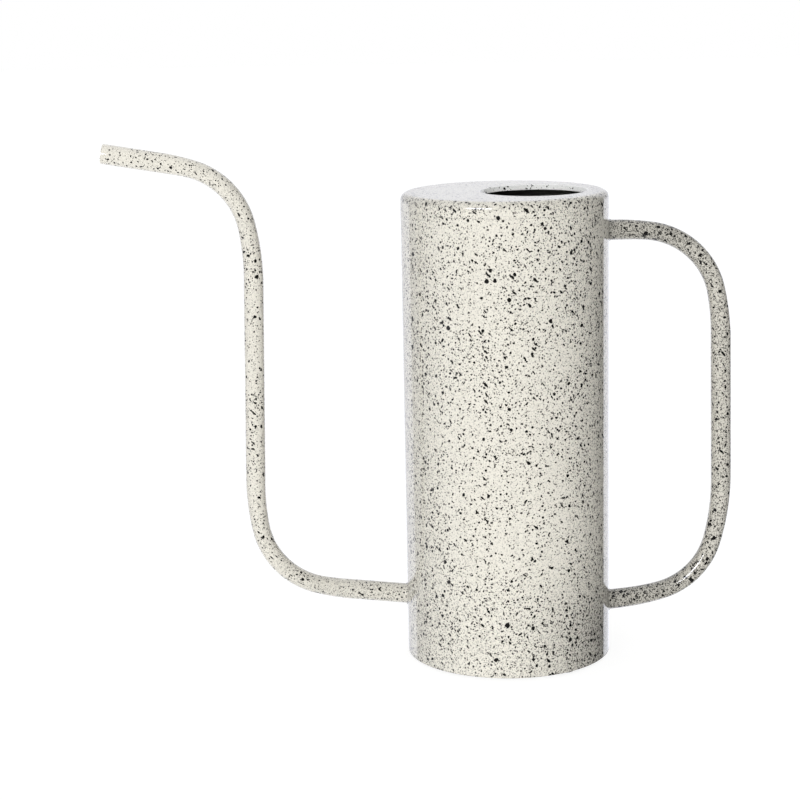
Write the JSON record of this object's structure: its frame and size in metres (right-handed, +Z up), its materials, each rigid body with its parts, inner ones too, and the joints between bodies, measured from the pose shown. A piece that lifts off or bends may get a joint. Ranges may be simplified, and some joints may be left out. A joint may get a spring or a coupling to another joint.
{
  "type": "watering can",
  "caption": "Slim cylindrical indoor watering can with a long thin bent spout, a bent tube handle and a round filler hole in its flat top.",
  "frame": {"origin": "on the cylinder's axis at floor level, the plane that the foot pads rest on", "axes": "+Z up along the cylinder, -X towards the spout, +X towards the handle; both tubes lie in the XZ plane"},
  "size_m": [0.3038, 0.1, 0.2546],
  "materials": {
    "body_enamel": "gloss, cream with black specks",
    "spout_enamel": "gloss, cream with fine black specks",
    "handle_enamel": "gloss, cream with dense black specks",
    "pad_rubber": "matt"
  },
  "bodies": {
    "root": {"body_shell": "body_enamel", "seam_weld": "body_enamel", "top_plate": "body_enamel", "top_weld": "body_enamel", "base_plate": "body_enamel", "base_weld": "body_enamel", "spout_tube": "spout_enamel", "spout_weld": "spout_enamel", "handle_tube": "handle_enamel", "handle_upper_weld": "handle_enamel", "handle_lower_weld": "handle_enamel", "foot_pads": "pad_rubber"}
  },
  "joints": []
}
